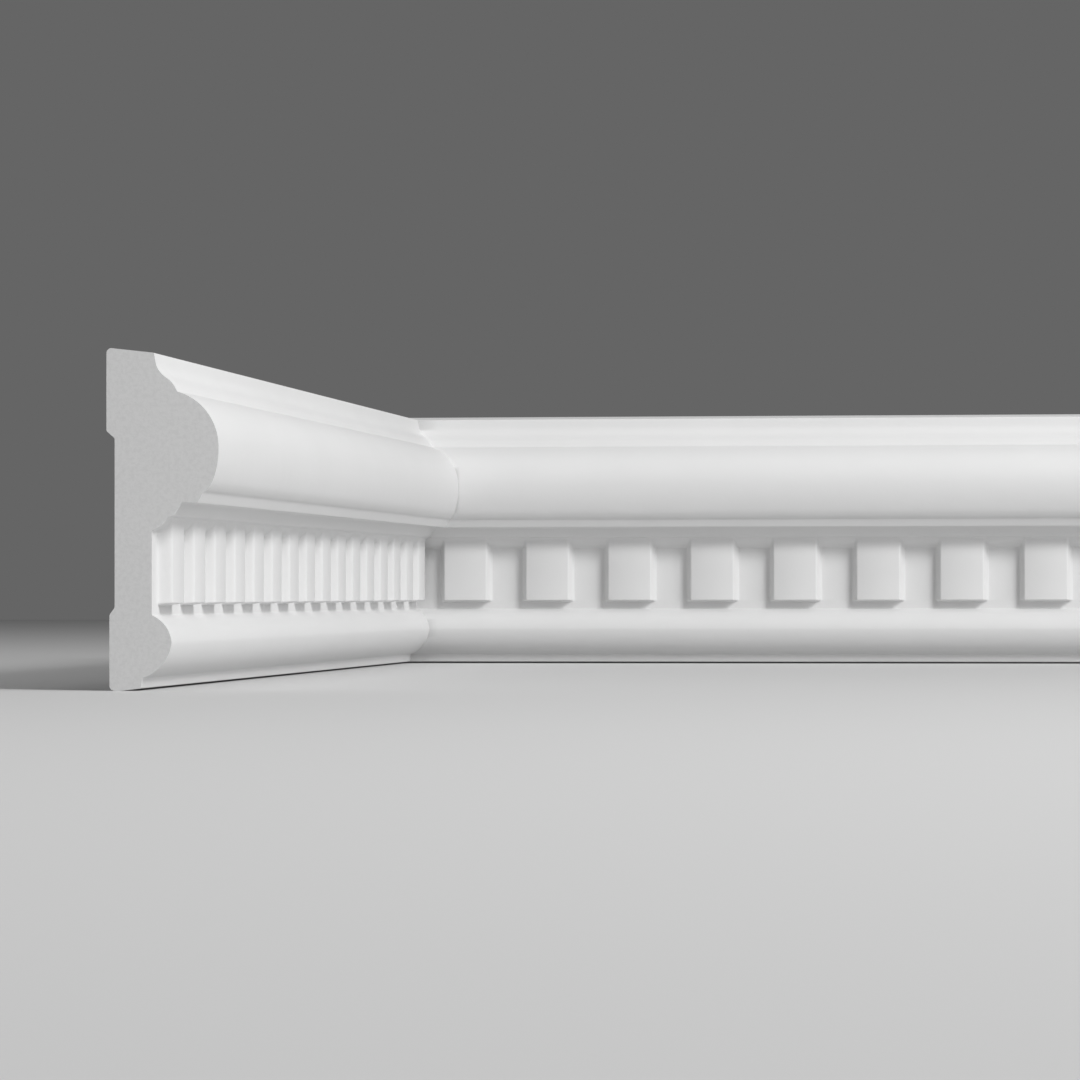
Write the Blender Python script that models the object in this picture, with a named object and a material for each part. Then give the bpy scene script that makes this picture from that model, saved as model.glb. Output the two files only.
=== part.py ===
"""Dentil wall moulding: an inside corner of two mitred lengths.

Metres, +Z up. The origin is the middle of the box around both lengths, at the height of their
bottom edge. The back length runs along +X with its back towards +Y, and the side length runs
along -Y with its back towards -X. Both have one section, which is drawn as points (depth,
height): depth is measured out from the wall and height up from the bottom edge.
"""

import math

import bmesh
import bpy

# Lengths, measured along each wall from the corner to the square cut
BACK_LENGTH = 0.2860
SIDE_LENGTH = 0.4920
JOINT_GAP = 0.0003

# Heights of the section's bands, from the bottom up
SPLAY_HEIGHT = 0.0006
PLINTH_HEIGHT = 0.0028
TORUS_UNDER_HEIGHT = 0.0092
TORUS_UPPER_HEIGHT = 0.0072
DENTIL_LIFT = 0.0031
DENTIL_HEIGHT = 0.0190
BED_HEIGHT = 0.0036
BED_STEP_HEIGHT = 0.0004
COVE_HEIGHT = 0.0037
DRIP_FALL = 0.0004
LIP_HEIGHT = 0.0029
QUIRK_HEIGHT = 0.0003
NOSE_HEIGHT = 0.0025
OVOLO_UNDER_HEIGHT = 0.0094
OVOLO_UPPER_HEIGHT = 0.0142
CYMA_HEIGHT = 0.0072
FILLET_HEIGHT = 0.0030
TOP_FALL = 0.0013

# Depths, each counted from the form that it grows out of
GROUND_DEPTH = 0.0121
BED_PROJECTION = 0.0041
BED_STEP_PROJECTION = 0.0015
COVE_PROJECTION = 0.0026
DRIP_PROJECTION = 0.0039
LIP_BATTER = 0.0016
QUIRK_PROJECTION = 0.0006
NOSE_PROJECTION = 0.0019
OVOLO_SWELL = 0.0016
CYMA_SETBACK = 0.0111
FILLET_SETBACK = 0.0056
FILLET_BATTER = 0.0005
TORUS_PROJECTION = 0.0053
PLINTH_SETBACK = 0.0078
PLINTH_BATTER = 0.0004
FOOT_DEPTH = 0.0038

# How far each curve stands out from its chord, or is hollowed behind it when negative
TORUS_UPPER_BOW = 0.0013
TORUS_UNDER_BOW = 0.0018
BED_BOW = 0.0005
NOSE_BOW = 0.00015
OVOLO_UNDER_BOW = 0.0005
OVOLO_UPPER_BOW = 0.0030
CYMA_BOW = 0.0004
EDGE_BOW = 0.0003

# Back of the section: two lands with a shallow recess for adhesive between them
RECESS_DEPTH = 0.0022
RECESS_SPLAY = 0.0019
UPPER_LAND_HEIGHT = 0.0218
LOWER_LAND_HEIGHT = 0.0199
LOWER_LAND_SETBACK = 0.0008
BACK_EDGE_ROUND = 0.0012

# Dentils, raised on the ground; the first centre of each length is measured from the corner
DENTIL_PITCH = 0.0300
DENTIL_RELIEF = 0.0038
DENTIL_WIDTH = 0.0156
DENTIL_SIDE_DRAFT = 0.0015
DENTIL_FOOT_DRAFT = 0.0005
BACK_FIRST_DENTIL = 0.0304
SIDE_FIRST_DENTIL = 0.0250

# Modelling allowances: the largest gap between a curve and its facets, the depth to which a
# dentil is sunk into the ground, and the length of stock that the saw takes off
FACET_SAG = 0.00001
DENTIL_ROOT = 0.0020
SAW_MARGIN = 0.0100
SMOOTH_ANGLE = math.radians(24.0)

# Heights and depths that follow from the bands
TORUS_FOOT = SPLAY_HEIGHT + PLINTH_HEIGHT
TORUS_MIDDLE = TORUS_FOOT + TORUS_UNDER_HEIGHT
GROUND_FOOT = TORUS_MIDDLE + TORUS_UPPER_HEIGHT
DENTIL_FOOT = GROUND_FOOT + DENTIL_LIFT
GROUND_HEAD = DENTIL_FOOT + DENTIL_HEIGHT
BED_HEAD = GROUND_HEAD + BED_HEIGHT
COVE_FOOT = BED_HEAD + BED_STEP_HEIGHT
COVE_HEAD = COVE_FOOT + COVE_HEIGHT
LIP_FOOT = COVE_HEAD - DRIP_FALL
LIP_HEAD = LIP_FOOT + LIP_HEIGHT
NOSE_FOOT = LIP_HEAD + QUIRK_HEIGHT
OVOLO_FOOT = NOSE_FOOT + NOSE_HEIGHT
OVOLO_MIDDLE = OVOLO_FOOT + OVOLO_UNDER_HEIGHT
CYMA_FOOT = OVOLO_MIDDLE + OVOLO_UPPER_HEIGHT
FILLET_FOOT = CYMA_FOOT + CYMA_HEIGHT
TOP_FRONT = FILLET_FOOT + FILLET_HEIGHT
RAIL_HEIGHT = TOP_FRONT + TOP_FALL

TORUS_DEPTH = GROUND_DEPTH + TORUS_PROJECTION
PLINTH_DEPTH = TORUS_DEPTH - PLINTH_SETBACK
DENTIL_DEPTH = GROUND_DEPTH + DENTIL_RELIEF
BED_DEPTH = GROUND_DEPTH + BED_PROJECTION
COVE_DEPTH = BED_DEPTH + BED_STEP_PROJECTION
SOFFIT_DEPTH = COVE_DEPTH + COVE_PROJECTION
LIP_DEPTH = SOFFIT_DEPTH + DRIP_PROJECTION
QUIRK_DEPTH = LIP_DEPTH + LIP_BATTER
NOSE_DEPTH = QUIRK_DEPTH + QUIRK_PROJECTION
OVOLO_FOOT_DEPTH = NOSE_DEPTH + NOSE_PROJECTION
OVOLO_DEPTH = OVOLO_FOOT_DEPTH + OVOLO_SWELL
CYMA_DEPTH = OVOLO_DEPTH - CYMA_SETBACK
FILLET_DEPTH = CYMA_DEPTH - FILLET_SETBACK
TOP_DEPTH = FILLET_DEPTH - FILLET_BATTER


def bowed(start, end, bow):
    """Points after start on the circular arc to end.

    The arc's middle stands off the chord by bow, to the right of the way from start to end,
    which is the section's outer side.
    """
    run = end[0] - start[0]
    rise = end[1] - start[1]
    chord = math.hypot(run, rise)
    side = math.copysign(1.0, bow)
    out = (side * rise / chord, -side * run / chord)
    bow = abs(bow)
    radius = chord * chord / (8.0 * bow) + bow / 2.0
    half_angle = math.asin(min(1.0, chord / (2.0 * radius)))
    facet_angle = 2.0 * math.acos(1.0 - min(1.0, FACET_SAG / radius))
    facets = max(2, math.ceil(2.0 * half_angle / facet_angle))
    centre = (
        (start[0] + end[0]) / 2.0 - out[0] * (radius - bow),
        (start[1] + end[1]) / 2.0 - out[1] * (radius - bow),
    )
    points = []
    for step in range(1, facets):
        turn = half_angle * (2.0 * step / facets - 1.0)
        ahead = radius * math.sin(turn)
        aside = radius * math.cos(turn)
        points.append((
            centre[0] + out[0] * aside + run / chord * ahead,
            centre[1] + out[1] * aside + rise / chord * ahead,
        ))
    points.append(end)
    return points


def front_outline():
    """Points of the section's front, from the foot up to the front edge of the sloping top."""
    points = [(FOOT_DEPTH, 0.0), (PLINTH_DEPTH - PLINTH_BATTER, SPLAY_HEIGHT)]
    points.append((PLINTH_DEPTH, TORUS_FOOT))
    points += bowed(points[-1], (TORUS_DEPTH, TORUS_MIDDLE), TORUS_UNDER_BOW)
    points += bowed(points[-1], (GROUND_DEPTH, GROUND_FOOT), TORUS_UPPER_BOW)
    points.append((GROUND_DEPTH, GROUND_HEAD))
    points += bowed(points[-1], (BED_DEPTH, BED_HEAD), BED_BOW)
    points.append((COVE_DEPTH, COVE_FOOT))
    points.append((SOFFIT_DEPTH, COVE_HEAD))
    points.append((LIP_DEPTH, LIP_FOOT))
    points.append((QUIRK_DEPTH, LIP_HEAD))
    points.append((NOSE_DEPTH, NOSE_FOOT))
    points += bowed(points[-1], (OVOLO_FOOT_DEPTH, OVOLO_FOOT), NOSE_BOW)
    points += bowed(points[-1], (OVOLO_DEPTH, OVOLO_MIDDLE), OVOLO_UNDER_BOW)
    points += bowed(points[-1], (CYMA_DEPTH, CYMA_FOOT), OVOLO_UPPER_BOW)
    cyma_middle = ((CYMA_DEPTH + FILLET_DEPTH) / 2.0, (CYMA_FOOT + FILLET_FOOT) / 2.0)
    points += bowed(points[-1], cyma_middle, CYMA_BOW)
    points += bowed(points[-1], (FILLET_DEPTH, FILLET_FOOT), -CYMA_BOW)
    points.append((TOP_DEPTH, TOP_FRONT))
    return points


def back_outline():
    """Points of the section's top and back, from the top's rear edge down to the foot's."""
    setback = LOWER_LAND_SETBACK
    recess_head = RAIL_HEIGHT - UPPER_LAND_HEIGHT
    points = [(BACK_EDGE_ROUND, RAIL_HEIGHT)]
    points += bowed(points[-1], (0.0, RAIL_HEIGHT - BACK_EDGE_ROUND), EDGE_BOW)
    points.append((0.0, recess_head))
    points.append((RECESS_DEPTH, recess_head - RECESS_SPLAY))
    points.append((RECESS_DEPTH, LOWER_LAND_HEIGHT + RECESS_SPLAY))
    points.append((setback, LOWER_LAND_HEIGHT))
    points.append((setback, BACK_EDGE_ROUND))
    points += bowed(points[-1], (setback + BACK_EDGE_ROUND, 0.0), EDGE_BOW)
    return points


def dentil_outline():
    """Points of a dentil seen from its side; its root and head are buried in the moulding."""
    root = GROUND_DEPTH - DENTIL_ROOT
    head = COVE_FOOT + COVE_HEIGHT / 2.0
    foot_slope = DENTIL_FOOT_DRAFT / DENTIL_RELIEF
    return [
        (root, DENTIL_FOOT - foot_slope * (DENTIL_DEPTH - root)),
        (DENTIL_DEPTH, DENTIL_FOOT),
        (DENTIL_DEPTH, head),
        (root, head),
    ]


def back_wall(along, depth, height):
    """A place on the back length in the part's frame, along being measured from the corner."""
    return (along - BACK_LENGTH / 2.0, SIDE_LENGTH / 2.0 - depth, height)


def side_wall(along, depth, height):
    """A place on the side length in the part's frame, along being measured from the corner."""
    return (depth - BACK_LENGTH / 2.0, SIDE_LENGTH / 2.0 - along, height)


def swept(mesh, outline, near, far, place):
    """Add the prism between two copies of an outline; near and far give each point's place."""
    near_loop = [mesh.verts.new(place(near(depth), depth, height)) for depth, height in outline]
    far_loop = [mesh.verts.new(place(far(depth), depth, height)) for depth, height in outline]
    mesh.faces.new(near_loop)
    mesh.faces.new(far_loop)
    for index, corner in enumerate(near_loop):
        following = (index + 1) % len(outline)
        mesh.faces.new((corner, near_loop[following], far_loop[following], far_loop[index]))


def finished(name, mesh, material=None):
    """Make a closed mesh an object; one without a material is a guide for a Boolean."""
    bmesh.ops.recalc_face_normals(mesh, faces=mesh.faces)
    data = bpy.data.meshes.new(name)
    mesh.to_mesh(data)
    mesh.free()
    item = bpy.data.objects.new(name, data)
    bpy.context.scene.collection.objects.link(item)
    if material:
        data.materials.append(material)
    else:
        item.hide_render = True
        item.display_type = "WIRE"
    return item


def stock(name, length, place, material):
    """The plain moulding before it is sawn, longer than needed at both ends."""
    mesh = bmesh.new()
    outline = front_outline() + back_outline()
    swept(mesh, outline, lambda depth: -SAW_MARGIN, lambda depth: length + SAW_MARGIN, place)
    piece = finished(name, mesh, material)
    piece.data.shade_smooth()
    piece.data.set_sharp_from_angle(angle=SMOOTH_ANGLE)
    return piece


def dentil_row(name, first, length, place):
    """All the dentils of one length, spaced by the pitch, out to the square cut and past it."""
    mesh = bmesh.new()
    outline = dentil_outline()
    slope = DENTIL_SIDE_DRAFT / DENTIL_RELIEF
    count = math.ceil((length - first) / DENTIL_PITCH + DENTIL_WIDTH / DENTIL_PITCH)

    def half_width(depth):
        return DENTIL_WIDTH / 2.0 + slope * (DENTIL_DEPTH - depth)

    for index in range(count):
        middle = first + index * DENTIL_PITCH
        swept(
            mesh,
            outline,
            lambda depth, middle=middle: middle - half_width(depth),
            lambda depth, middle=middle: middle + half_width(depth),
            place,
        )
    return finished(name, mesh)


def saw_cuts(name, length, place):
    """What the saw takes off: the 45 degree mitre at the corner and the square cut."""
    mesh = bmesh.new()
    reach = 2.0 * SAW_MARGIN
    setback = JOINT_GAP / math.sqrt(2.0)
    depths = (-SAW_MARGIN, OVOLO_DEPTH + SAW_MARGIN)
    heights = (-SAW_MARGIN, RAIL_HEIGHT + SAW_MARGIN)
    frame = [
        (depths[0], heights[0]),
        (depths[1], heights[0]),
        (depths[1], heights[1]),
        (depths[0], heights[1]),
    ]
    swept(mesh, frame, lambda depth: -reach, lambda depth: depth + setback, place)
    swept(mesh, frame, lambda depth: length, lambda depth: length + DENTIL_PITCH + reach, place)
    return finished(name, mesh)


def combine(target, tool, operation):
    """Add a Boolean to target."""
    step = target.modifiers.new(tool.name, "BOOLEAN")
    step.operation = operation
    step.solver = "EXACT"
    step.object = tool


def primed_foam(name, tint):
    """White primer over rigid polyurethane foam: matt, with no metal."""
    material = bpy.data.materials.new(name)
    material.use_nodes = True
    shader = material.node_tree.nodes["Principled BSDF"]
    shader.inputs["Base Color"].default_value = tint
    shader.inputs["Roughness"].default_value = 0.62
    shader.inputs["Metallic"].default_value = 0.0
    material.diffuse_color = tint
    return material


def moulding_length(name, length, first, place, tint):
    """One length of the moulding: stock with its dentils, mitred and cut square."""
    piece = stock(name, length, place, primed_foam(name, tint))
    combine(piece, dentil_row(name + "_dentils", first, length, place), "UNION")
    combine(piece, saw_cuts(name + "_saw", length, place), "DIFFERENCE")
    return piece


for old in list(bpy.data.objects):
    bpy.data.objects.remove(old, do_unlink=True)

moulding_length("back_length", BACK_LENGTH, BACK_FIRST_DENTIL, back_wall, (0.81, 0.81, 0.80, 1.0))
moulding_length("side_length", SIDE_LENGTH, SIDE_FIRST_DENTIL, side_wall, (0.79, 0.79, 0.79, 1.0))
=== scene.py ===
"""An inside corner of dentil wall moulding, dressed for a studio picture.

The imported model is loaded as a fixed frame. Each length of moulding is then made again with a
finer section, softened arrises and moulded dentils, and gets its primed foam finish.
All lengths are in metres, except in names that end in _mm.
"""

import math

import bmesh
import bpy
import numpy as np
from bpy.props import (
    FloatProperty,
    FloatVectorProperty,
    IntProperty,
    PointerProperty,
)
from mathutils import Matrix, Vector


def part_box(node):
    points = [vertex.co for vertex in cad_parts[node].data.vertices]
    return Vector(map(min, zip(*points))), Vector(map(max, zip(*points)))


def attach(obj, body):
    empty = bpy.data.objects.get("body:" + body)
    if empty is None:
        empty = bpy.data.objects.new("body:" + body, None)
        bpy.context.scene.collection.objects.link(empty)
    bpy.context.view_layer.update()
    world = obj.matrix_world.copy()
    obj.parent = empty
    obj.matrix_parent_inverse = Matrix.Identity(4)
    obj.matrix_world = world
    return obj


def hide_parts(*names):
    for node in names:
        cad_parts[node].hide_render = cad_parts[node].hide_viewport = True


bl_info = {
    "name": "Dentil Moulding Corner",
    "version": (1, 0, 0),
    "blender": (4, 5, 0),
    "location": "3D View > Sidebar > Moulding",
    "description": "Primed foam moulding with dentils, mitred at an inside corner of two walls",
    "category": "Object",
}

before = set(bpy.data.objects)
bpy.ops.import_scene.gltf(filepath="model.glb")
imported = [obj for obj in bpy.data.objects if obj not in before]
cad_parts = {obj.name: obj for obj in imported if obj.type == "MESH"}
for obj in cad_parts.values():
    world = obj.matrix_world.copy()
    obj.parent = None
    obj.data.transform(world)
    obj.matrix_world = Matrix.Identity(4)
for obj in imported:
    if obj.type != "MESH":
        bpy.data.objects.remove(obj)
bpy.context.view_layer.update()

# The planes of the two walls, and each length from the corner to its square cut
BACK_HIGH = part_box("back_length")[1]
SIDE_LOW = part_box("side_length")[0]
BACK_WALL = float(BACK_HIGH[1])
SIDE_WALL = float(SIDE_LOW[0])
BACK_LENGTH = float(BACK_HIGH[0]) - SIDE_WALL
SIDE_LENGTH = BACK_WALL - float(SIDE_LOW[1])

# The section in millimetres, anticlockwise from the foot: depth from the wall, height from the
# bottom edge, and how far the curve that arrives there bows out from its chord.
SECTION_MM = np.array([
    (3.8, 0.0, 0.0),
    (9.2, 0.6, 0.0),
    (9.6, 3.4, 0.0),
    (17.4, 12.6, 1.8),
    (12.1, 19.8, 1.3),
    (12.1, 41.9, 0.0),
    (16.2, 45.5, 0.5),
    (17.7, 45.9, 0.0),
    (20.3, 49.6, 0.0),
    (24.2, 49.2, 0.0),
    (25.8, 52.1, 0.0),
    (26.4, 52.4, 0.0),
    (28.3, 54.9, 0.15),
    (29.9, 64.3, 0.5),
    (18.8, 78.5, 3.0),
    (16.0, 82.1, 0.4),
    (13.2, 85.7, -0.4),
    (12.7, 88.7, 0.0),
    (1.2, 90.0, 0.0),
    (0.0, 88.8, 0.3),
    (0.0, 68.2, 0.0),
    (2.2, 66.3, 0.0),
    (2.2, 21.8, 0.0),
    (0.8, 19.9, 0.0),
    (0.8, 1.2, 0.0),
    (2.0, 0.0, 0.3),
])

# Places on the section: the ground that the dentils stand on, the dentils' feet and heads, the
# foot of the lip above them, and the depth that parts the section's front from its back
GROUND_DEPTH = 0.0121
GROUND_FOOT = 0.0198
DENTIL_FOOT = 0.0229
DENTIL_HEAD = 0.0450
LIP_FOOT = 0.0492
BACK_FACE_DEPTH = 0.0050

# How far a dentil's block reaches under the ground beyond its fillet
DENTIL_ROOT = 0.0002

# How far each length runs into the other at the mitre, and its waste before the mitre is cut
MITRE_OVERLAP = 0.0001
MITRE_WASTE = 0.0020

# Spacing of the points that the section is softened at, and of those kept on its front and
# back where it is straight; where it turns, there is one for each of these angles
FINE_SPACING = 0.00005
FRONT_SPACING = 0.0014
BACK_SPACING = 0.0080
TURN_SPACING = math.radians(8.0)

# Extra points at the dentils' feet and heads, as (height, half the band's width, how many)
DENTIL_BANDS = (
    (DENTIL_FOOT - 0.0001, 0.0004, 10.0),
    (DENTIL_HEAD, 0.0006, 6.0),
)

# Columns of points beside a dentil, in millimetres outwards from the edge of its face
EDGE_COLUMNS_MM = (-0.45, -0.2, 0.05, 0.3, 0.65, 1.0, 1.3, 1.6, 2.0)

# The floor's reach to each side, and the place in the corner that the lights face
FLOOR_REACH = 3.0
LIT_PLACE = (-0.02, 0.1, 0.05)


def linear(code):
    """The linear RGBA colour of an sRGB hex code."""
    value = np.array([int(code[place:place + 2], 16) for place in (0, 2, 4)]) / 255.0
    value = np.where(value <= 0.04045, value / 12.92, ((value + 0.055) / 1.055) ** 2.4)
    return (*(float(part) for part in value), 1.0)


class MouldingForm(bpy.types.PropertyGroup):
    """Sizes of the moulding that the section doesn't hold."""

    arris_softness: FloatProperty(
        name="Arris softness",
        description="Width over which the section's arrises are rounded",
        default=0.00022, min=0.00005, max=0.0008, unit="LENGTH", precision=5,
    )
    dentil_pitch: FloatProperty(
        name="Dentil pitch",
        description="Distance between the middles of two dentils",
        default=0.0300, min=0.022, max=0.05, unit="LENGTH", precision=4,
    )
    dentil_width: FloatProperty(
        name="Dentil width",
        description="Width of a dentil's face",
        default=0.0156, min=0.006, max=0.02, unit="LENGTH", precision=4,
    )
    dentil_relief: FloatProperty(
        name="Dentil relief",
        description="How far a dentil's face stands out from the ground",
        default=0.0038, min=0.001, max=0.005, unit="LENGTH", precision=4,
    )
    side_draft: FloatProperty(
        name="Side draft",
        description="How much wider a dentil is on each side at its root than at its face",
        default=0.0015, min=0.0002, max=0.003, unit="LENGTH", precision=4,
    )
    foot_draft: FloatProperty(
        name="Foot draft",
        description="How much lower a dentil's foot is at its root than at its face",
        default=0.0005, min=0.0002, max=0.002, unit="LENGTH", precision=4,
    )
    dentil_softness: FloatProperty(
        name="Dentil softness",
        description="Width over which the edges of a dentil's face are rounded",
        default=0.0009, min=0.0002, max=0.002, unit="LENGTH", precision=5,
    )
    crease_softness: FloatProperty(
        name="Crease softness",
        description="Depth over which a dentil runs into the ground and the bed above it",
        default=0.0008, min=0.0002, max=0.001, unit="LENGTH", precision=5,
    )
    back_first: FloatProperty(
        name="First dentil, back",
        description="Distance from the corner to the middle of the back length's first dentil",
        default=0.0304, min=0.02, max=0.05, unit="LENGTH", precision=4,
    )
    side_first: FloatProperty(
        name="First dentil, side",
        description="Distance from the corner to the middle of the side length's first dentil",
        default=0.0250, min=0.02, max=0.05, unit="LENGTH", precision=4,
    )
    section_points: IntProperty(
        name="Section points",
        description="Number of points around the section",
        default=200, min=80, max=240,
    )


class MouldingFinish(bpy.types.PropertyGroup):
    """Colours and roughness of the primed surface and of the sawn foam."""

    primer: FloatVectorProperty(
        name="Primer",
        description="Colour of the white primer",
        default=linear("DCDCDC"), size=4, min=0.0, max=1.0, subtype="COLOR",
    )
    primer_thin: FloatVectorProperty(
        name="Thin primer",
        description="Colour of the primer where the coat is thinner",
        default=linear("D8D8D8"), size=4, min=0.0, max=1.0, subtype="COLOR",
    )
    primer_roughness: FloatProperty(
        name="Primer roughness",
        description="Roughness of the dry primer",
        default=0.6, min=0.0, max=1.0, subtype="FACTOR",
    )
    foam: FloatVectorProperty(
        name="Foam",
        description="Colour of the sawn foam",
        default=linear("D6D6D6"), size=4, min=0.0, max=1.0, subtype="COLOR",
    )
    foam_pore: FloatVectorProperty(
        name="Foam pores",
        description="Colour in the opened cells of the sawn foam",
        default=linear("D0D0D0"), size=4, min=0.0, max=1.0, subtype="COLOR",
    )


class MouldingStudio(bpy.types.PropertyGroup):
    """The floor, the lights and the camera."""

    camera_place: FloatVectorProperty(
        name="Camera place",
        description="Where the camera stands",
        default=(0.11419, -1.44019, 0.02557), size=3, subtype="TRANSLATION",
    )
    camera_turn: FloatVectorProperty(
        name="Camera turn",
        description="Pitch, roll and heading of the camera",
        default=(math.radians(90.6552), math.radians(0.0536), math.radians(6.8075)),
        size=3, subtype="EULER",
    )
    lens_mm: FloatProperty(
        name="Lens",
        description="Focal length on a 36 mm sensor, in millimetres",
        default=154.43, min=10.0, max=400.0,
    )
    floor: FloatVectorProperty(
        name="Floor",
        description="Colour of the plain floor",
        default=linear("C8C8C8"), size=4, min=0.0, max=1.0, subtype="COLOR",
    )
    surround: FloatVectorProperty(
        name="Surround",
        description="Colour of the studio around the floor",
        default=linear("656565"), size=4, min=0.0, max=1.0, subtype="COLOR",
    )
    key_power: FloatProperty(
        name="Key light",
        description="Power of the light in front on the right, which draws the shadows",
        default=26.8, min=0.0, unit="POWER",
    )
    low_power: FloatProperty(
        name="Low light",
        description="Power of the light beside the key light and lower down",
        default=7.5, min=0.0, unit="POWER",
    )
    top_power: FloatProperty(
        name="Top light",
        description="Power of the soft light overhead",
        default=6.6, min=0.0, unit="POWER",
    )
    upper_power: FloatProperty(
        name="Upper light",
        description="Power of the broad soft light above on the right",
        default=6.4, min=0.0, unit="POWER",
    )
    fill_power: FloatProperty(
        name="Fill light",
        description="Power of the soft light in front on the left",
        default=2.4, min=0.0, unit="POWER",
    )


def section_loop(spacing):
    """Points around the section before its arrises are softened, as an array of (depth, height).

    Each band's points lie on its chord and are pushed to the outer side, the right of the way
    along it, by sqrt(R^2 - x^2) - (R - b). There x is the distance from the chord's middle, b is
    the bow, and R = chord^2 / (8 b) + b / 2.
    """
    ends = SECTION_MM[:, :2] / 1000.0
    starts = np.roll(ends, 1, axis=0)
    ways = ends - starts
    chords = np.hypot(ways[:, 0], ways[:, 1])
    bows = np.maximum(np.abs(SECTION_MM[:, 2]) / 1000.0, 1e-9)
    radii = chords ** 2 / (8.0 * bows) + bows / 2.0
    reach = np.concatenate(([0.0], np.cumsum(chords)))
    walk = np.linspace(0.0, reach[-1], int(reach[-1] / spacing), endpoint=False)
    band = np.clip(np.searchsorted(reach, walk, side="right") - 1, 0, len(chords) - 1)
    share = (walk - reach[band]) / chords[band]
    across = (share - 0.5) * chords[band]
    push = np.sqrt(radii[band] ** 2 - across ** 2) - (radii[band] - bows[band])
    push *= np.sign(SECTION_MM[band, 2]) / chords[band]
    outwards = np.stack((ways[band, 1], -ways[band, 0]), axis=1)
    return starts[band] + share[:, None] * ways[band] + push[:, None] * outwards


def soft_section(form):
    """The section as it is moulded, as an array of section_points rows (depth, height).

    Each point is the mean of its neighbours with a bell curve's weights, arris_softness wide,
    which rounds the arrises and leaves flats and slow curves where they are. The points are then
    dealt out evenly along a running total of length, turning, and nearness to the dentils' feet
    and heads, so they crowd where the shape is tight.
    """
    loop = section_loop(FINE_SPACING)
    reach = int(4.0 * form.arris_softness / FINE_SPACING)
    offsets = np.arange(-reach, reach + 1) * FINE_SPACING
    bell = np.exp(-0.5 * (offsets / form.arris_softness) ** 2)
    bell /= bell.sum()
    padded = np.concatenate((loop[-reach:], loop, loop[:reach]))
    soft = np.stack([np.convolve(padded[:, axis], bell, mode="valid") for axis in (0, 1)], axis=1)

    steps = np.roll(soft, -1, axis=0) - soft
    heading = np.unwrap(np.arctan2(steps[:, 1], steps[:, 0]))
    turning = np.abs(np.diff(heading, prepend=heading[-1] - 2.0 * math.pi))
    front = soft[:, 0] > BACK_FACE_DEPTH
    weight = np.hypot(steps[:, 0], steps[:, 1]) / np.where(front, FRONT_SPACING, BACK_SPACING)
    weight += turning / TURN_SPACING
    for height, width, count in DENTIL_BANDS:
        near = np.exp(-0.5 * ((soft[:, 1] - height) / width) ** 2) * front
        weight += count * near / near.sum()
    total = np.concatenate(([0.0], np.cumsum(weight)))
    marks = np.linspace(0.0, total[-1], form.section_points, endpoint=False)
    index = np.interp(marks, total, np.arange(len(total)))
    closed = np.concatenate((soft, soft[:1]))
    places = np.arange(len(closed))
    return np.stack([np.interp(index, places, closed[:, axis]) for axis in (0, 1)], axis=1)


def soft_hinge(value, width):
    """Zero below zero and the value above it, joined by a parabola over the width."""
    bend = np.clip(value + width / 2.0, 0.0, width)
    return bend ** 2 / (2.0 * width) + np.maximum(value - width / 2.0, 0.0)


def soft_greater(first, second, reach):
    """The greater of two depths, with a fillet where they differ by less than reach.

    It is max(a, b) + h^2 reach / 4, where h = max(reach - |a - b|, 0) / reach.
    """
    blend = np.maximum(reach - np.abs(first - second), 0.0) / reach
    return np.maximum(first, second) + blend ** 2 * reach / 4.0


def dentil_depth(along, height, middles, form):
    """Depth of the dentils' surface over the wall, sunk under the ground between them.

    A block falls from 1 at its face to 0 at a root below the ground. Across it falls by the
    distance past the face's side over the side draft, and below it by the distance past the
    face's foot over the foot draft. The two are multiplied, which rounds its corners.
    """
    root = form.crease_softness + DENTIL_ROOT
    deeper = (form.dentil_relief + root) / form.dentil_relief
    beside = np.abs(along[:, None] - middles[None, :]).min(axis=1) - form.dentil_width / 2.0
    below = DENTIL_FOOT - height
    side_run = form.side_draft * deeper
    foot_run = form.foot_draft * deeper
    softness = form.dentil_softness
    side = 1.0 - soft_hinge(beside, softness) / side_run
    foot = 1.0 - soft_hinge(below, 0.5 * softness) / foot_run
    block = np.clip(side, 0.0, 1.0)[None, :] * np.clip(foot, 0.0, 1.0)[:, None]
    return GROUND_DEPTH - root + (form.dentil_relief + root) * block


def moulded_columns(length, middles, form):
    """Places along a length where the surface has its columns of points.

    They crowd at the edges of the dentils, and none lies close to either end but the ends' own.
    """
    half = form.dentil_width / 2.0
    edge = half + np.array(EDGE_COLUMNS_MM) / 1000.0
    offsets = np.concatenate((-edge[::-1], (0.0,), edge, (form.dentil_pitch / 2.0,)))
    columns = (middles[:, None] + offsets[None, :]).ravel()
    columns = columns[(columns > 0.0005) & (columns < length - 0.0001)]
    return np.concatenate(((-MITRE_WASTE,), np.sort(columns), (length,)))


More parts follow.
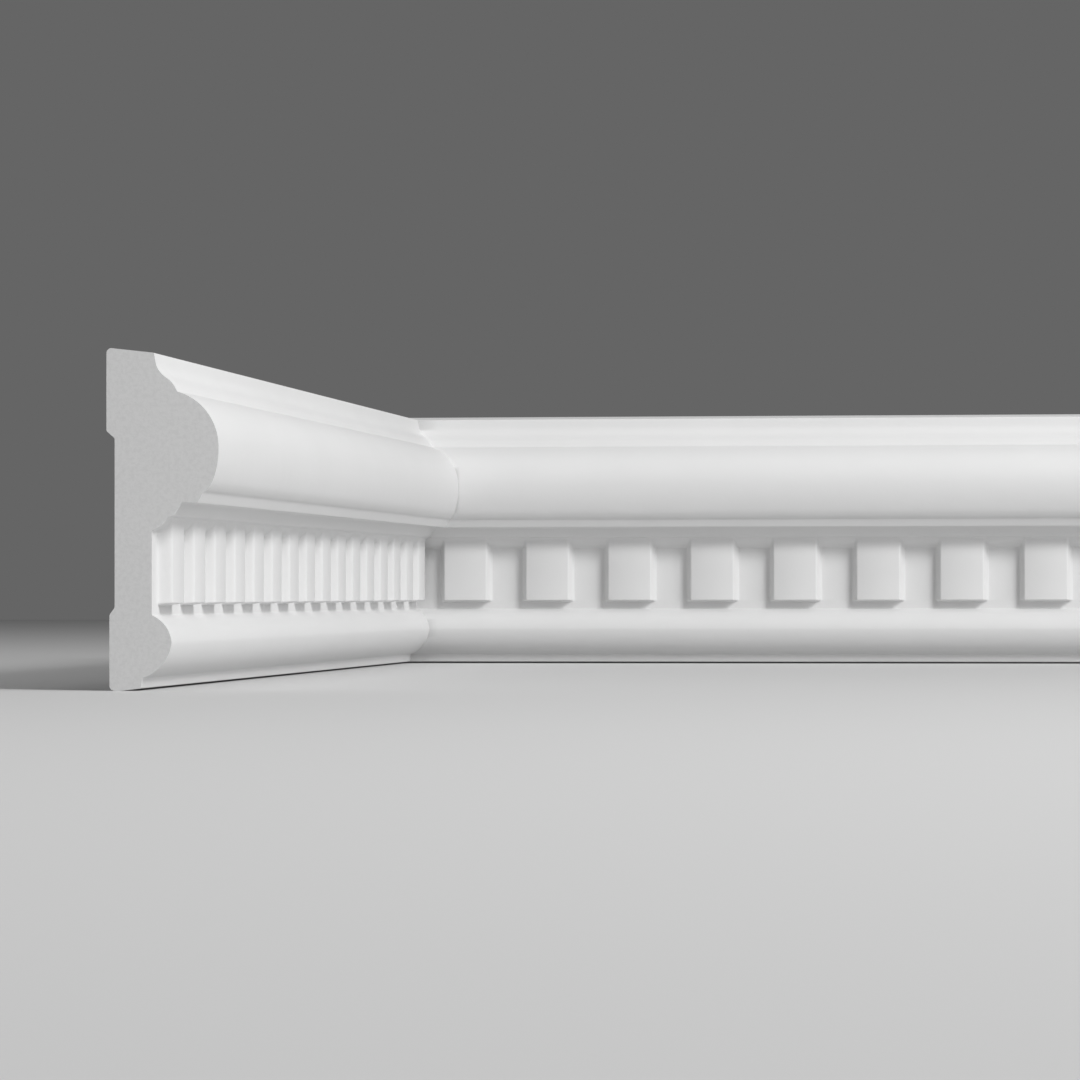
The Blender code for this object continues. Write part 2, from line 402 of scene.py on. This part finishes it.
def moulded_length(name, length, first, place, materials, form):
    """One length of moulding as a closed mesh.

    The soft section is carried straight along the wall: point (column, row) lies at the column's
    distance along, the row's height, and the greater of the section's depth and the dentils'.
    The corner end is cut at 45 degrees, where along = depth - MITRE_OVERLAP, so that the two
    lengths run into each other without a gap, and both ends are closed.
    """
    section = soft_section(form)
    count = math.ceil((length - first) / form.dentil_pitch + 1.0)
    middles = first + form.dentil_pitch * np.arange(count)
    columns = moulded_columns(length, middles, form)
    depth = np.repeat(section[:, 0][:, None], len(columns), axis=1)
    carved = (section[:, 0] > BACK_FACE_DEPTH) & (section[:, 1] > GROUND_FOOT)
    carved &= section[:, 1] < LIP_FOOT
    dentils = dentil_depth(columns, section[:, 1], middles, form)
    depth = np.where(carved[:, None], soft_greater(depth, dentils, form.crease_softness), depth)
    along = np.broadcast_to(columns, depth.shape)
    height = np.broadcast_to(section[:, 1][:, None], depth.shape)
    points = np.stack((along, depth, height), axis=2).reshape(-1, 3)

    rows, width = depth.shape
    here = np.arange(rows * width).reshape(rows, width)
    above = np.roll(here, -1, axis=0)
    quads = np.stack((here[:, :-1], here[:, 1:], above[:, 1:], above[:, :-1]), axis=2)
    data = bpy.data.meshes.new(name)
    data.from_pydata(points.tolist(), [], quads.reshape(-1, 4).tolist())

    work = bmesh.new()
    work.from_mesh(data)
    bmesh.ops.bisect_plane(
        work,
        geom=work.verts[:] + work.edges[:] + work.faces[:],
        plane_co=(-MITRE_OVERLAP, 0.0, 0.0),
        plane_no=(-1.0, 1.0, 0.0),
        clear_outer=True,
    )
    for face in work.faces:
        face.smooth = True
    rims = [edge for edge in work.edges if edge.is_boundary]
    for cap in bmesh.ops.holes_fill(work, edges=rims, sides=0)["faces"]:
        cap.smooth = False
        cap.material_index = 1
    work.to_mesh(data)
    work.free()

    local = np.empty(len(data.vertices) * 3)
    data.vertices.foreach_get("co", local)
    local = local.reshape(-1, 3)
    local[:, 0] = np.maximum(local[:, 0], 0.0)
    data.vertices.foreach_set("co", place(local).ravel())
    data.update()
    work = bmesh.new()
    work.from_mesh(data)
    bmesh.ops.recalc_face_normals(work, faces=work.faces)
    work.to_mesh(data)
    work.free()
    data.set_sharp_from_angle(angle=math.radians(50.0))
    for material in materials:
        data.materials.append(material)
    piece = bpy.data.objects.new(name, data)
    bpy.context.scene.collection.objects.link(piece)
    return piece


def on_back_wall(points):
    """Points (along, depth, height) of the back length in the object's frame."""
    return np.stack((SIDE_WALL + points[:, 0], BACK_WALL - points[:, 1], points[:, 2]), axis=1)


def on_side_wall(points):
    """Points (along, depth, height) of the side length in the object's frame."""
    return np.stack((SIDE_WALL + points[:, 1], BACK_WALL - points[:, 0], points[:, 2]), axis=1)


def add_node(tree, kind, settings=(), inputs=(), links=()):
    """Add a shader node, with its settings, its sockets' values, and links from other nodes."""
    node = tree.nodes.new(kind)
    for name, value in dict(settings).items():
        setattr(node, name, value)
    for socket, value in dict(inputs).items():
        node.inputs[socket].default_value = value
    for socket, source in dict(links).items():
        tree.links.new(source, node.inputs[socket])
    return node


def new_material(name, tint):
    """An empty node material, with a viewport colour; gives the material, tree and shader."""
    material = bpy.data.materials.new(name)
    material.use_nodes = True
    material.diffuse_color = tint
    tree = material.node_tree
    return material, tree, tree.nodes["Principled BSDF"]


def primed_polyurethane(finish):
    """Rigid polyurethane foam from a mould, sprayed with a white primer."""
    # Moulded foam has a closed skin, and the sprayed coat dries to a flat white. The eye sees
    # soft broad highlights, a faint orange peel about a millimetre across, a slow waviness from
    # the mould, and a slightly uneven coat.
    name = "moulded_polyurethane_primed_white"
    material, tree, shader = new_material(name, finish.primer)
    place = add_node(tree, "ShaderNodeTexCoord").outputs["Object"]
    # Coat clouds about 25 mm across
    clouds = add_node(
        tree, "ShaderNodeTexNoise",
        inputs={"Scale": 1.0 / 0.025, "Detail": 3.0, "Roughness": 0.55},
        links={"Vector": place},
    )
    coat = add_node(
        tree, "ShaderNodeMix", settings={"data_type": "RGBA"},
        inputs={6: finish.primer_thin, 7: finish.primer},
        links={0: clouds.outputs["Fac"]},
    )
    tree.links.new(coat.outputs[2], shader.inputs["Base Color"])
    dry = add_node(
        tree, "ShaderNodeMapRange",
        inputs={
            "To Min": finish.primer_roughness - 0.06,
            "To Max": finish.primer_roughness + 0.06,
        },
        links={"Value": clouds.outputs["Fac"]},
    )
    tree.links.new(dry.outputs["Result"], shader.inputs["Roughness"])
    # Waviness of the mould, 14 mm from crest to crest and under a tenth of a millimetre high
    waves = add_node(
        tree, "ShaderNodeTexNoise",
        inputs={"Scale": 1.0 / 0.014, "Detail": 1.0},
        links={"Vector": place},
    )
    slow = add_node(
        tree, "ShaderNodeBump",
        inputs={"Strength": 1.0, "Distance": 0.00010},
        links={"Height": waves.outputs["Fac"]},
    )
    # Orange peel of the sprayed coat: 0.6 mm in the real one, drawn at 1 mm to show
    peel = add_node(
        tree, "ShaderNodeTexNoise",
        inputs={"Scale": 1.0 / 0.001, "Detail": 2.0, "Roughness": 0.6},
        links={"Vector": place},
    )
    fine = add_node(
        tree, "ShaderNodeBump",
        inputs={"Strength": 1.0, "Distance": 0.000015},
        links={"Height": peel.outputs["Fac"], "Normal": slow.outputs["Normal"]},
    )
    tree.links.new(fine.outputs["Normal"], shader.inputs["Normal"])
    shader.inputs["IOR"].default_value = 1.48
    shader.inputs["Metallic"].default_value = 0.0
    return material


def sawn_polyurethane(finish):
    """The same foam where a fine saw has opened it."""
    # Sawing opens the cells, so the cut is greyer and duller than the primer, finely speckled,
    # with faint marks of the teeth.
    material, tree, shader = new_material("sawn_polyurethane_foam", finish.foam)
    place = add_node(tree, "ShaderNodeTexCoord").outputs["Object"]
    # Opened cells: 0.2 mm in the real one, drawn at 0.5 mm to show
    cells = add_node(
        tree, "ShaderNodeTexVoronoi",
        inputs={"Scale": 1.0 / 0.0005, "Randomness": 1.0},
        links={"Vector": place},
    )
    speckle = add_node(
        tree, "ShaderNodeTexNoise",
        inputs={"Scale": 1.0 / 0.0012, "Detail": 3.0, "Roughness": 0.7},
        links={"Vector": place},
    )
    open_cells = add_node(
        tree, "ShaderNodeMapRange",
        inputs={"From Min": 0.42, "From Max": 0.62},
        links={"Value": speckle.outputs["Fac"]},
    )
    tone = add_node(
        tree, "ShaderNodeMix", settings={"data_type": "RGBA"},
        inputs={6: finish.foam, 7: finish.foam_pore},
        links={0: open_cells.outputs["Result"]},
    )
    tree.links.new(tone.outputs[2], shader.inputs["Base Color"])
    pits = add_node(
        tree, "ShaderNodeBump",
        inputs={"Strength": 0.5, "Distance": 0.00002},
        links={"Height": cells.outputs["Distance"]},
    )
    # Marks of the saw's teeth, 1.1 mm apart
    teeth = add_node(
        tree, "ShaderNodeTexWave",
        settings={"wave_type": "BANDS", "bands_direction": "DIAGONAL"},
        inputs={"Scale": 0.05 / 0.0011, "Distortion": 1.5, "Detail": 2.0, "Detail Scale": 2.0},
        links={"Vector": place},
    )
    marks = add_node(
        tree, "ShaderNodeBump",
        inputs={"Strength": 0.5, "Distance": 0.00001},
        links={"Height": teeth.outputs["Fac"], "Normal": pits.outputs["Normal"]},
    )
    tree.links.new(marks.outputs["Normal"], shader.inputs["Normal"])
    shader.inputs["Roughness"].default_value = 0.9
    shader.inputs["IOR"].default_value = 1.45
    shader.inputs["Metallic"].default_value = 0.0
    return material


def shared_materials(finish):
    """The two materials, made once for both lengths."""
    names = ("moulded_polyurethane_primed_white", "sawn_polyurethane_foam")
    found = [bpy.data.materials.get(name) for name in names]
    if all(found):
        return found
    return [primed_polyurethane(finish), sawn_polyurethane(finish)]


class MOULDING_OT_back_length(bpy.types.Operator):
    """Make the length of moulding on the back wall"""

    bl_idname = "moulding.back_length"
    bl_label = "Back Length"

    def execute(self, context):
        form = context.scene.moulding_form
        piece = moulded_length(
            "back_moulding",
            BACK_LENGTH,
            form.back_first,
            on_back_wall,
            shared_materials(context.scene.moulding_finish),
            form,
        )
        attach(piece, "root")
        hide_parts("back_length")
        return {"FINISHED"}


class MOULDING_OT_side_length(bpy.types.Operator):
    """Make the length of moulding on the side wall"""

    bl_idname = "moulding.side_length"
    bl_label = "Side Length"

    def execute(self, context):
        form = context.scene.moulding_form
        piece = moulded_length(
            "side_moulding",
            SIDE_LENGTH,
            form.side_first,
            on_side_wall,
            shared_materials(context.scene.moulding_finish),
            form,
        )
        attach(piece, "root")
        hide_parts("side_length")
        return {"FINISHED"}


def soft_light(name, place, target, size, power):
    """A square area light at a place, turned to face the target."""
    data = bpy.data.lights.new(name, "AREA")
    data.shape = "SQUARE"
    data.size = size
    data.energy = power
    light = bpy.data.objects.new(name, data)
    way = np.array(target) - np.array(place)
    flat = math.hypot(way[0], way[1])
    light.location = place
    light.rotation_euler = (math.atan2(flat, -way[2]), 0.0, math.atan2(-way[0], way[1]))
    bpy.context.scene.collection.objects.link(light)


class MOULDING_OT_studio(bpy.types.Operator):
    """Make the floor, the soft lights and the camera"""

    bl_idname = "moulding.studio"
    bl_label = "Studio"

    def execute(self, context):
        studio = context.scene.moulding_studio
        reach = FLOOR_REACH
        corners = [(-reach, -reach, 0.0), (reach, -reach, 0.0)]
        corners += [(reach, reach, 0.0), (-reach, reach, 0.0)]
        data = bpy.data.meshes.new("studio_floor")
        data.from_pydata(corners, [], [(0, 1, 2, 3)])
        material, tree, shader = new_material("matt_painted_floor", studio.floor)
        shader.inputs["Base Color"].default_value = studio.floor
        shader.inputs["Roughness"].default_value = 0.85
        data.materials.append(material)
        floor = bpy.data.objects.new("studio_floor", data)
        context.scene.collection.objects.link(floor)

        soft_light("key_light", (1.208, -1.016, 1.166), LIT_PLACE, 0.5, studio.key_power)
        soft_light("low_light", (1.622, -0.885, 0.625), LIT_PLACE, 0.6, studio.low_power)
        soft_light("top_light", (0.0, -0.3, 2.0), LIT_PLACE, 1.0, studio.top_power)
        soft_light("upper_light", (0.9, -0.3, 1.9), LIT_PLACE, 1.2, studio.upper_power)
        soft_light("fill_light", (-1.2, -1.6, 0.9), LIT_PLACE, 1.4, studio.fill_power)

        world = bpy.data.worlds.new("studio_surround")
        world.use_nodes = True
        world.node_tree.nodes["Background"].inputs["Color"].default_value = studio.surround
        context.scene.world = world
        context.scene.view_settings.view_transform = "Standard"

        view = bpy.data.cameras.new("studio_camera")
        view.sensor_width = 36.0
        view.lens = studio.lens_mm
        view.clip_start = 0.05
        camera = bpy.data.objects.new("studio_camera", view)
        camera.location = studio.camera_place
        camera.rotation_euler = studio.camera_turn
        context.scene.collection.objects.link(camera)
        context.scene.camera = camera
        return {"FINISHED"}


class MOULDING_PT_sidebar(bpy.types.Panel):
    """Sizes, finishes and steps of the moulding corner"""

    bl_idname = "MOULDING_PT_sidebar"
    bl_label = "Dentil Moulding Corner"
    bl_space_type = "VIEW_3D"
    bl_region_type = "UI"
    bl_category = "Moulding"

    def draw(self, context):
        column = self.layout.column()
        for label, group in (
            ("Form", context.scene.moulding_form),
            ("Finish", context.scene.moulding_finish),
            ("Studio", context.scene.moulding_studio),
        ):
            column.label(text=label)
            for name in group.__annotations__:
                column.prop(group, name)
        column.operator(MOULDING_OT_back_length.bl_idname)
        column.operator(MOULDING_OT_side_length.bl_idname)
        column.operator(MOULDING_OT_studio.bl_idname)


CLASSES = (
    MouldingForm,
    MouldingFinish,
    MouldingStudio,
    MOULDING_OT_back_length,
    MOULDING_OT_side_length,
    MOULDING_OT_studio,
    MOULDING_PT_sidebar,
)


def register():
    for item in CLASSES:
        bpy.utils.register_class(item)
    bpy.types.Scene.moulding_form = PointerProperty(type=MouldingForm)
    bpy.types.Scene.moulding_finish = PointerProperty(type=MouldingFinish)
    bpy.types.Scene.moulding_studio = PointerProperty(type=MouldingStudio)


def unregister():
    del bpy.types.Scene.moulding_studio
    del bpy.types.Scene.moulding_finish
    del bpy.types.Scene.moulding_form
    for item in reversed(CLASSES):
        bpy.utils.unregister_class(item)


def main():
    """Register the classes, and make every piece and the studio."""
    register()
    bpy.ops.moulding.back_length()
    bpy.ops.moulding.side_length()
    bpy.ops.moulding.studio()


if __name__ == "__main__":
    main()
